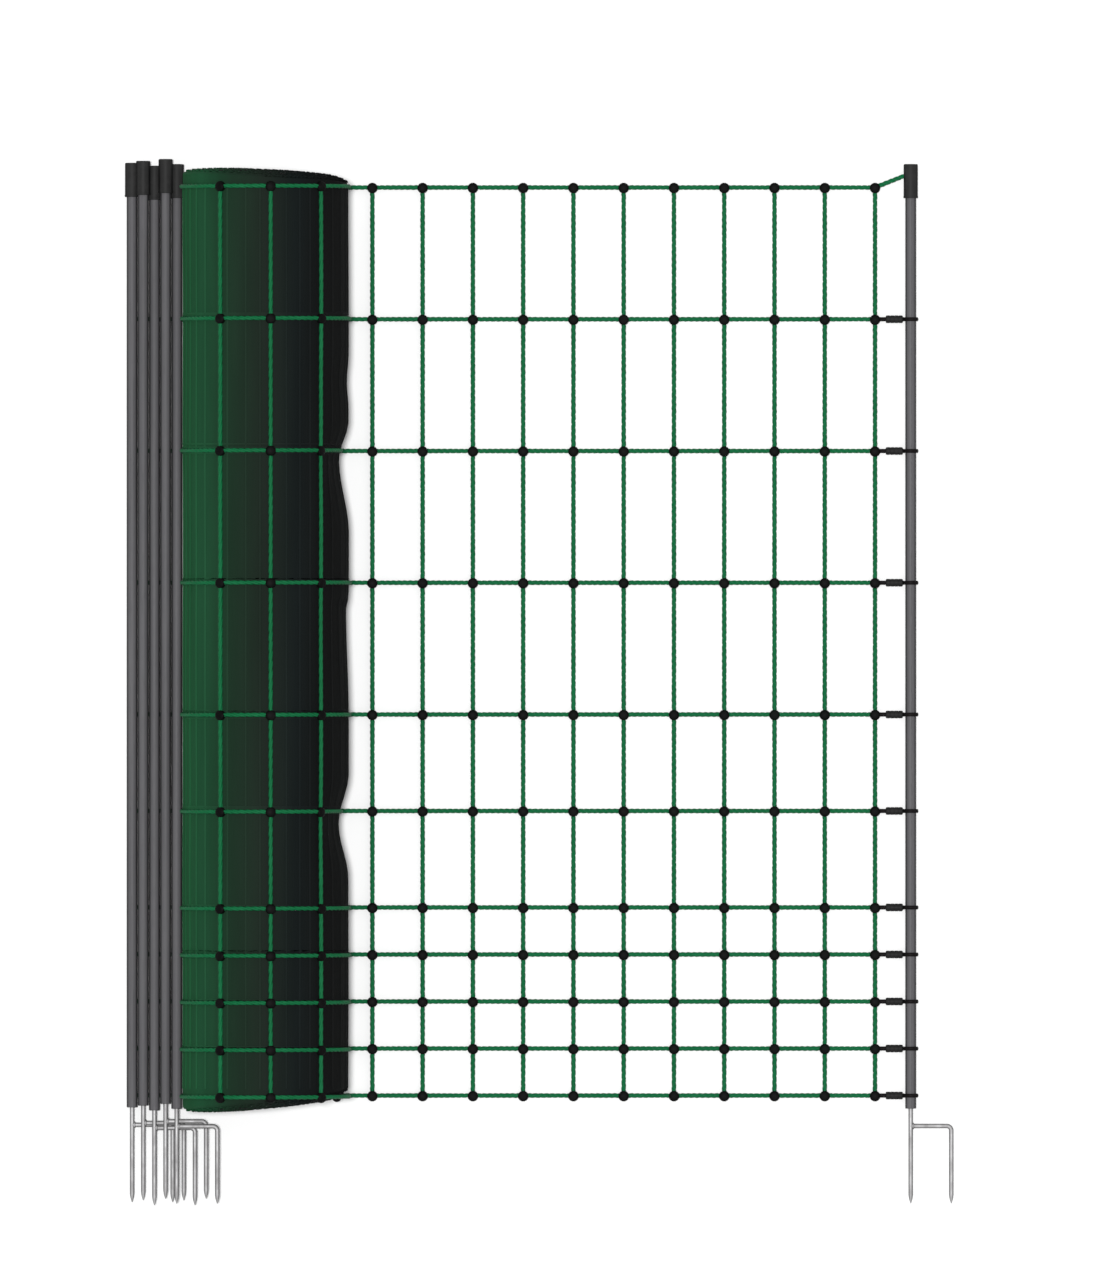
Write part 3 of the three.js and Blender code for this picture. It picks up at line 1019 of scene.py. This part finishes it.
@dataclass
class Roll:
    """The rest of the net, wound up: packed inner turns, loose outer turns and the turns its ends show."""

    layout: NetLayout
    finishes: Finishes
    dents: tuple[Dent, ...] = (
        Dent(0.785, 0.0118, 0.046, 0.092),
        Dent(0.336, 0.0122, 0.062, 0.068),
        Dent(0.604, 0.0032, 0.012, 0.130),
        Dent(0.880, 0.0022, 0.034, 0.034),
    )
    dent_start: float = 0.62
    dent_full: float = 0.97
    low_end: RollEnd = RollEnd(-0.0042, 0.0095, 0.0096, 0.0075, -1)
    high_end: RollEnd = RollEnd(1.1318, 0.0082, -0.0049, -0.004, 1)
    slant_fade: float = 0.058
    shoulder: float = 0.0016
    core_depth: float = 0.0016
    bore_radius: float = 0.02
    seen_places: tuple[float, ...] = (-0.055, 0.007, 0.069)
    under_start: float = 122.0
    under_end: float = 250.0
    under_struts: int = 6
    spiral_pitch: float = 0.0066
    spiral_knots: Knots = Knots(radius=0.0046, thickness=0.007, edge=0.002, sides=10)
    spiral_knot_sink: float = 0.0026
    spiral_in_bore: float = 0.003
    spiral_reach: float = 0.985
    outer: Lay = Lay(plies=3, ply_radius=0.0018, lay_radius=0.0011, pitch=0.026, sides=5, step=0.0045)
    twine: Lay = Lay(plies=3, ply_radius=0.0019, lay_radius=0.001, pitch=0.036, sides=6, step=0.006)
    inner: Lay = Lay(plies=1, ply_radius=0.0019, lay_radius=0.0, pitch=0.0, sides=6, step=0.012)
    edge: Lay = Lay(plies=2, ply_radius=0.0013, lay_radius=0.001, pitch=0.02, sides=5, step=0.0052)
    knot_thickness: float = 0.008
    inner_sink: float = 0.0024
    inner_layers: int = 4
    inner_slide: float = 0.005
    inner_drift: float = 0.0035
    inner_struts: int = 9
    inner_strut_foot: float = 0.01
    inner_strut_cut: float = 0.012
    inner_strut_drift: float = 0.04
    ripple: float = 0.0004
    core_sides: int = 80
    core_rows: int = 120
    seed: int = 7

    def __post_init__(self) -> None:
        """Reads the roll's place from the frame."""
        low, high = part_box("net_roll")
        self.middle = middle_of("net_roll")
        self.radius = (high.x - low.x) / 2
        self.foot = self.layout.strand_places[0]
        self.turn_length = 2 * math.pi * self.radius

    def drawn(self, heights: Points, angles: Points) -> Points:
        """How far the roll is drawn in at heights on the net and angles from its top."""
        share = np.clip((np.sin(angles) - self.dent_start) / (self.dent_full - self.dent_start), 0, 1)
        weight = share * share * (3 - 2 * share)
        deepest = np.max([dent.at(heights) for dent in self.dents], axis=0)
        waves = np.sin(3 * angles + 9 * heights) * np.cos(2 * angles - 14 * heights)
        return weight * deepest + self.ripple * (1 + waves)

    def place(self, angles: Points, heights: Points, radii: Points) -> Points:
        """Turns angles from the roll's top, heights above the bottom strand and radii into places.

        Args:
            angles: Angles towards +X.
            heights: Heights above the bottom strand.
            radii: Distances from the roll's axis.

        Returns:
            Places in the row frame, one row each.
        """
        across, up = radii * np.sin(angles), radii * np.cos(angles)
        return np.column_stack((self.middle.x + across, self.foot + heights, self.middle.z + up))

    def wrap(self, piece: Object, lift: float = 0.0) -> Object:
        """Bends a flat piece round the roll: X runs round it from the top, Y up it and Z off it.

        Args:
            piece: The flat piece, with Z measured from its own middle.
            lift: How far that middle lies outside the roll's surface.

        Returns:
            The piece, wrapped in place.
        """
        points = read_points(piece)
        angles = points[:, 0] / self.radius
        radii = self.radius - self.drawn(points[:, 1], angles) + lift + points[:, 2]
        write_points(piece, self.place(angles, points[:, 1], radii))
        return piece

    def strut_angles(self) -> list[float]:
        """Angles of the outer turn's struts: three in line with the bay's, and the ones on the far side."""
        seen = [math.asin(place / self.radius) for place in self.seen_places]
        under = np.radians(np.linspace(self.under_start, self.under_end, self.under_struts))
        return seen + [float(angle) for angle in under]

    def end_profile(self, end: RollEnd) -> list[tuple[float, float]]:
        """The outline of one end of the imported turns, from the bore out to the wall."""
        wall = self.radius - self.core_depth
        radii = np.linspace(self.bore_radius, wall - self.shoulder, 11)
        flat = [(float(r), float(end.height(np.array(r / wall), np.array(0.0)))) for r in radii]
        round_angles = np.linspace(math.pi / 4, 0, 4)
        corner = [
            (
                wall - self.shoulder * (1 - math.cos(a)),
                end.rim - end.facing * self.shoulder * (1 - math.sin(a)),
            )
            for a in round_angles
        ]
        return flat + corner

    def core(self) -> Object:
        """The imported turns: a turned body with its bore, drawn in where the roll is."""
        wall = self.radius - self.core_depth
        low, high = self.end_profile(self.low_end), self.end_profile(self.high_end)
        rows = np.linspace(low[-1][1] + 0.01, high[-1][1] - 0.01, self.core_rows)
        profile = low + [(wall, float(row)) for row in rows] + high[::-1]
        piece = turned("roll_core", profile, self.core_sides)
        points = read_points(piece)
        radii = np.hypot(points[:, 0], points[:, 2])
        angles = np.arctan2(points[:, 0], points[:, 2])
        heights = points[:, 1]
        across = points[:, 0] / self.radius
        fade_low = np.clip(1 - heights / self.slant_fade, 0, 1)
        fade_high = np.clip(1 - (self.layout.height - heights) / self.slant_fade, 0, 1)
        heights = heights + fade_low * self.low_end.lean(across) + fade_high * self.high_end.lean(across)
        near_wall = np.clip((radii - self.bore_radius) / (wall - self.bore_radius), 0, 1) ** 2
        radii = radii - self.drawn(heights, angles) * near_wall
        write_points(piece, self.place(angles, heights, radii))
        return smooth(piece, 50)

    def inner_turns(self) -> Object:
        """Strands and struts of the turns under the outer one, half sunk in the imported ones."""
        chance = np.random.default_rng(self.seed)
        hoop = self.inner.cord("inner_hoop", self.turn_length)
        strut = self.inner.cord("inner_strut", self.layout.height - self.inner_strut_cut)
        upright = Matrix.Rotation(QUARTER_TURN, 4, "Z")
        levels = self.layout.strand_heights
        parts = []
        for layer in range(self.inner_layers):
            slide = chance.uniform(-self.inner_slide, self.inner_slide)
            for level in levels[1:-1]:
                y = level + slide + chance.uniform(-self.inner_drift, self.inner_drift)
                parts.append(copy_of(hoop, Matrix.Translation((0, y, 0))))
            for index in range(self.inner_struts):
                angle = 2 * math.pi * (index + (layer + 0.5) / self.inner_layers) / self.inner_struts
                angle += chance.uniform(-self.inner_strut_drift, self.inner_strut_drift)
                place = Matrix.Translation((angle * self.radius, self.inner_strut_foot, 0))
                parts.append(copy_of(strut, place @ upright))
        remove(hoop, strut)
        return self.wrap(join("roll_inner_turns", parts), -self.inner_sink)

    def outer_turn(self) -> tuple[Object, Object, Object]:
        """The turn that lies outermost, in line with the flat bay as seen from above.

        Returns:
            Its strands, its struts and its knots.
        """
        levels = self.layout.strand_heights
        hoop = self.outer.cord("outer_hoop", self.turn_length)
        strut = self.twine.cord("outer_strut", self.layout.height)
        upright = Matrix.Rotation(QUARTER_TURN, 4, "Z")
        strands = [copy_of(hoop, Matrix.Translation((-self.turn_length / 2, y, 0))) for y in levels]
        arcs = [angle * self.radius for angle in self.strut_angles()]
        struts = [copy_of(strut, Matrix.Translation((arc, 0, 0)) @ upright) for arc in arcs]
        pattern = Knots(thickness=self.knot_thickness).pattern()
        drop = self.layout.knot_drop
        knots = [copy_of(pattern, Matrix.Translation((arc, y - drop, 0))) for arc in arcs for y in levels]
        remove(hoop, strut, pattern)
        return (
            self.wrap(join("roll_outer_strands", strands)),
            self.wrap(join("roll_outer_struts", struts)),
            self.wrap(join("roll_outer_knots", knots)),
        )

    def spiral(self, name: str, end: RollEnd) -> tuple[Object, Object]:
        """The edge strand of every turn as one end of the roll shows it, with its knots.

        Args:
            name: The strand's name.
            end: The end that it lies on.

        Returns:
            The edge strand and its knots.
        """
        wall = self.radius - self.core_depth
        first, last = wall - self.shoulder / 2, self.bore_radius + self.spiral_in_bore
        length = math.pi * (first**2 - last**2) / self.spiral_pitch
        strand = self.edge.cord(name, length)
        pattern = self.spiral_knots.pattern()
        outermost = 2 * math.pi * first
        count = int((length - outermost) / self.layout.strut_pitch)
        places = [outermost + index * self.layout.strut_pitch for index in range(count)]
        knots = join(f"{name}_knots", [copy_of(pattern, Matrix.Translation((s, 0, 0))) for s in places])
        remove(pattern)
        for piece, sink in ((strand, 0.0), (knots, self.spiral_knot_sink)):
            points = read_points(piece)
            squares = first**2 - self.spiral_pitch * points[:, 0] / math.pi
            radii = np.sqrt(np.maximum(squares, last**2 * 0.9))
            angles = 2 * math.pi * (first - radii) / self.spiral_pitch
            shares = np.clip(radii / wall, 0, self.spiral_reach)
            surface = end.height(shares, radii * np.sin(angles) / self.radius)
            heights = surface - end.facing * sink + points[:, 1]
            write_points(piece, self.place(angles, heights, radii + points[:, 2]))
        return strand, knots

    def build(self) -> list[Object]:
        """Makes and dresses the roll.

        Returns:
            Its pieces.
        """
        made = self.finishes.made
        strands, struts, knots = self.outer_turn()
        pieces = [
            finish_piece(self.core(), made[Look.PACKED], Slot.ROLL, "net_roll"),
            finish_piece(self.inner_turns(), made[Look.TURNS], Slot.ROLL),
            finish_piece(strands, made[Look.CORD], Slot.NET),
            finish_piece(struts, made[Look.CORD], Slot.NET),
            finish_piece(knots, made[Look.KNOT], Slot.BLACK),
        ]
        for name, end in (("roll_lower_edge", self.low_end), ("roll_upper_edge", self.high_end)):
            strand, dots = self.spiral(name, end)
            pieces.append(finish_piece(strand, made[Look.TURNS], Slot.ROLL))
            pieces.append(finish_piece(dots, made[Look.KNOT], Slot.BLACK))
        return pieces


# Posts


@dataclass
class Posts:
    """Six posts of one make: the end post and the bundle of five."""

    finishes: Finishes
    sizes: PostSizes = PostSizes()

    def rod(self) -> Object:
        """A rod with softened ends, its foot at the origin."""
        size = self.sizes
        deselect_all()
        bpy.ops.mesh.primitive_cylinder_add(
            vertices=size.rod_sides,
            radius=size.rod_radius,
            depth=size.rod_length,
            location=(0, size.rod_length / 2, 0),
            rotation=(QUARTER_TURN, 0, 0),
        )
        rod = settle(bpy.context.object)
        round_edges(rod, lambda first, second: abs(first.y - second.y) < WELD_DISTANCE, size.rod_edge, 3)
        return smooth(rod)

    def cap(self) -> Object:
        """A cap with rounded rims, a lip at its foot and the dimple that its moulding leaves."""
        size = self.sizes
        radius, length, edge = size.cap_radius, size.cap_length, size.cap_edge
        bore, lip = size.rod_radius + size.cap_clearance, radius + size.cap_lip
        turns = np.linspace(0, math.pi / 2, 5)
        profile = [
            (0.0, size.cap_lip_height),
            (bore, size.cap_lip_height),
            (bore, 0.0),
            (radius - size.cap_foot_inset, 0.0),
            (lip, size.cap_foot_slope),
            (lip, size.cap_lip_height),
            (radius, size.cap_lip_height + size.cap_lip_slope),
        ]
        profile += [(radius - edge + edge * math.cos(a), length - edge + edge * math.sin(a)) for a in turns]
        dimple_floor = length - size.cap_dimple_depth
        profile += [(size.cap_dimple, length), (size.cap_dimple * 0.8, dimple_floor), (0.0, dimple_floor)]
        cap = turned("cap_pattern", profile, 32)
        cap.data.transform(Matrix.Translation((0, size.cap_foot, 0)))
        return smooth(cap, 35)

    def spike(self) -> Object:
        """A step-in spike: a pointed wire, and a second one bent off it and welded on."""
        size = self.sizes
        radius, tip = size.wire_radius, -size.spike_length
        point = [(share * radius, tip + rise * size.point_length) for share, rise in size.point_stages]
        point.append((size.point_radius, tip))
        stem_route = [Vector((0, size.stem_in_rod, 0))] + [Vector((0, y, 0)) for _, y in point]
        stem = wire_along("spike_stem", stem_route, [radius] + [r for r, _ in point], size.wire_sides)
        bar_y = -size.step_bar_drop
        centre = Vector((size.prong_offset - size.bend_radius, bar_y - size.bend_radius, 0))
        route = [Vector((0, bar_y, 0))]
        for index in range(size.bend_steps + 1):
            angle = math.pi / 2 * (1 - index / size.bend_steps)
            offset = Vector((math.cos(angle), math.sin(angle), 0)) * size.bend_radius
            route.append(centre + offset)
        radii = [radius] * len(route)
        route += [Vector((size.prong_offset, y, 0)) for _, y in point]
        radii += [r for r, _ in point]
        prong = wire_along("spike_prong", route, radii, size.wire_sides)
        weld_middle = radius + size.weld_clearance
        deselect_all()
        bpy.ops.mesh.primitive_torus_add(
            major_radius=weld_middle,
            minor_radius=size.weld_radius,
            major_segments=20,
            minor_segments=8,
            location=(weld_middle, bar_y, 0),
            rotation=(0, QUARTER_TURN, 0),
        )
        weld = settle(bpy.context.object)
        return smooth(join("spike_pattern", [stem, prong, weld]), 50)

    def build(self) -> list[Object]:
        """Makes and dresses the posts.

        Returns:
            Their pieces.
        """
        frames = [PostFrame("", "end_post")] + [PostFrame(f"_{index + 1}") for index in range(5)]
        patterns = {"rod": self.rod(), "cap": self.cap(), "spike": self.spike()}
        looks = {
            "rod": (self.finishes.made[Look.ROD], Slot.POST),
            "cap": (self.finishes.made[Look.CAP], Slot.BLACK),
            "spike": (self.finishes.made[Look.SPIKE], Slot.STEEL),
        }
        pieces = []
        for place in frames:
            matrix = place.matrix
            for part, pattern in patterns.items():
                material, slot = looks[part]
                node = place.node(part)
                piece = join(f"{node}_finished", [copy_of(pattern, matrix)])
                pieces.append(finish_piece(piece, material, slot, node))
        remove(*patterns.values())
        return pieces


# Clips


@dataclass
class Clips:
    """The clips that hold the strands to the end post: a ring, a crimped sleeve and two necks."""

    layout: NetLayout
    finishes: Finishes
    ring_thickness: float = 0.0026
    ring_height: float = 0.005
    ring_bore: float = 0.0069
    neck_radius: float = 0.0026
    neck_past_strut: float = 0.004
    neck_middle: float = 0.02
    neck_in_ring: float = 0.00104
    sleeve_radius: float = 0.0047
    sleeve_start: float = 0.0308
    sleeve_end: float = 0.0097
    sleeve_edge: float = 0.0014
    rim_share: float = 0.3
    groove_inset: float = 0.0055
    groove_depth: float = 0.0003
    groove_floor: float = 0.0003
    groove_reach: float = 0.0008
    count: int = 10

    def pattern(self) -> tuple[Object, Object]:
        """One clip, with the end post's axis through its ring at the origin and the strand along X.

        Returns:
            The ring with its necks, and the sleeve.
        """
        deselect_all()
        bpy.ops.mesh.primitive_torus_add(
            major_radius=self.ring_bore + self.ring_thickness / 2,
            minor_radius=self.ring_thickness / 2,
            major_segments=32,
            minor_segments=10,
            rotation=(QUARTER_TURN, 0, 0),
        )
        ring = settle(bpy.context.object)
        ring.data.transform(Matrix.Diagonal((1, self.ring_height / self.ring_thickness, 1, 1)))
        start = self.neck_past_strut - self.layout.end_post_offset
        end = -self.ring_bore - self.neck_in_ring
        drop = self.layout.cord_z - middle_of("end_post_rod").z
        route = [Vector((x, 0, drop)) for x in (start, -self.neck_middle, end)]
        neck = wire_along("clip_neck", route, [self.neck_radius] * 3, 12)
        left, right = -self.sleeve_start, -self.sleeve_end
        radius, edge = self.sleeve_radius, self.sleeve_edge
        bevel, neck_of_groove = edge * self.rim_share, radius - self.groove_depth
        rim = [(0.0, 0.0), (radius - edge, 0.0), (radius - bevel, bevel), (radius, edge)]
        groove = [(neck_of_groove, self.groove_floor), (radius, self.groove_reach)]
        groove = [(reach, -rise) for reach, rise in reversed(groove)] + groove
        grooves = (left + self.groove_inset, (left + right) / 2, right - self.groove_inset)
        profile = [(reach, left + rise) for reach, rise in rim]
        profile += [(reach, place + rise) for place in grooves for reach, rise in groove]
        profile += [(reach, right - rise) for reach, rise in reversed(rim)]
        sleeve = turned("clip_sleeve", profile, 20)
        sleeve.data.transform(Matrix.Translation((0, 0, drop)) @ Matrix.Rotation(-QUARTER_TURN, 4, "Z"))
        return smooth(join("clip_ring", [ring, neck]), 60), smooth(sleeve, 30)

    def build(self) -> list[Object]:
        """Makes and dresses the clips.

        Returns:
            Their pieces.
        """
        ring, sleeve = self.pattern()
        post = middle_of("end_post_rod")
        pieces = []
        for index in range(self.count):
            node = f"post_clip_{index + 1:02d}"
            y = self.layout.strand_places[self.count - 1 - index]
            matrix = Matrix.Translation((post.x, y, post.z))
            loop = join(f"{node}_loop", [copy_of(ring, matrix)])
            barrel = join(f"{node}_sleeve", [copy_of(sleeve, matrix)])
            pieces.append(finish_piece(loop, self.finishes.made[Look.CLIP], Slot.BLACK, node))
            pieces.append(finish_piece(barrel, self.finishes.made[Look.SLEEVE], Slot.BLACK))
        remove(ring, sleeve)
        return pieces


# Studio


@dataclass
class Studio:
    """The floor, the light and the camera."""

    view_height: float = 1.5789
    centre: tuple[float, float] = (0.0188, 0.0520)
    lens: float = 1200.0
    sensor: float = 36.0
    floor_size: float = 60.0
    sky: float = 0.55
    key: float = 3.3
    key_angle: float = 5.0
    key_tilt: float = 1.5

    def camera(self) -> None:
        """Looks straight down on the netting, as the photo looks straight at it."""
        data = bpy.data.cameras.new("Camera")
        data.sensor_width = self.sensor
        data.lens = self.lens
        distance = self.view_height * self.lens / self.sensor
        data.clip_start, data.clip_end = 1.0, distance * 2
        camera = bpy.data.objects.new("Camera", data)
        camera.location = (*self.centre, distance)
        bpy.context.scene.collection.objects.link(camera)
        bpy.context.scene.camera = camera

    def floor(self) -> None:
        """A plain pale floor."""
        deselect_all()
        bpy.ops.mesh.primitive_plane_add(size=self.floor_size)
        floor = bpy.context.object
        floor.name = "studio_floor"
        shade = Shade("pale floor")
        shade.set(Base_Color=(0.73, 0.73, 0.73, 1), Roughness=0.9, Specular_IOR_Level=0.0)
        floor.data.materials.append(shade.material)

    def light(self) -> None:
        """An even pale sky and one broad, soft light from above, a little to the left."""
        world = bpy.data.worlds.new("Studio sky")
        world.use_nodes = True
        background = world.node_tree.nodes["Background"]
        background.inputs["Color"].default_value = (1, 1, 1, 1)
        background.inputs["Strength"].default_value = self.sky
        bpy.context.scene.world = world
        sun = bpy.data.lights.new("Broad light", "SUN")
        sun.energy = self.key
        sun.angle = math.radians(self.key_angle)
        lamp = bpy.data.objects.new("Broad light", sun)
        lamp.rotation_euler = (math.radians(-self.key_tilt * 0.4), math.radians(-self.key_tilt), 0)
        bpy.context.scene.collection.objects.link(lamp)
        bpy.context.scene.view_settings.view_transform = "Standard"


def main() -> None:
    """Builds the studio and then the netting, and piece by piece."""
    logging.basicConfig(level=logging.INFO, format="%(name)s %(message)s")
    studio = Studio()
    studio.camera()
    studio.floor()
    studio.light()
    layout = NetLayout()
    finishes = Finishes()
    netting, roll = Netting(layout, finishes), Roll(layout, finishes)
    posts, clips = Posts(finishes), Clips(layout, finishes)
    for assembly in (netting, roll, posts, clips):
        pieces = assembly.build()
        log.info("%s: %d pieces", type(assembly).__name__, len(pieces))


if __name__ == "__main__":
    main()
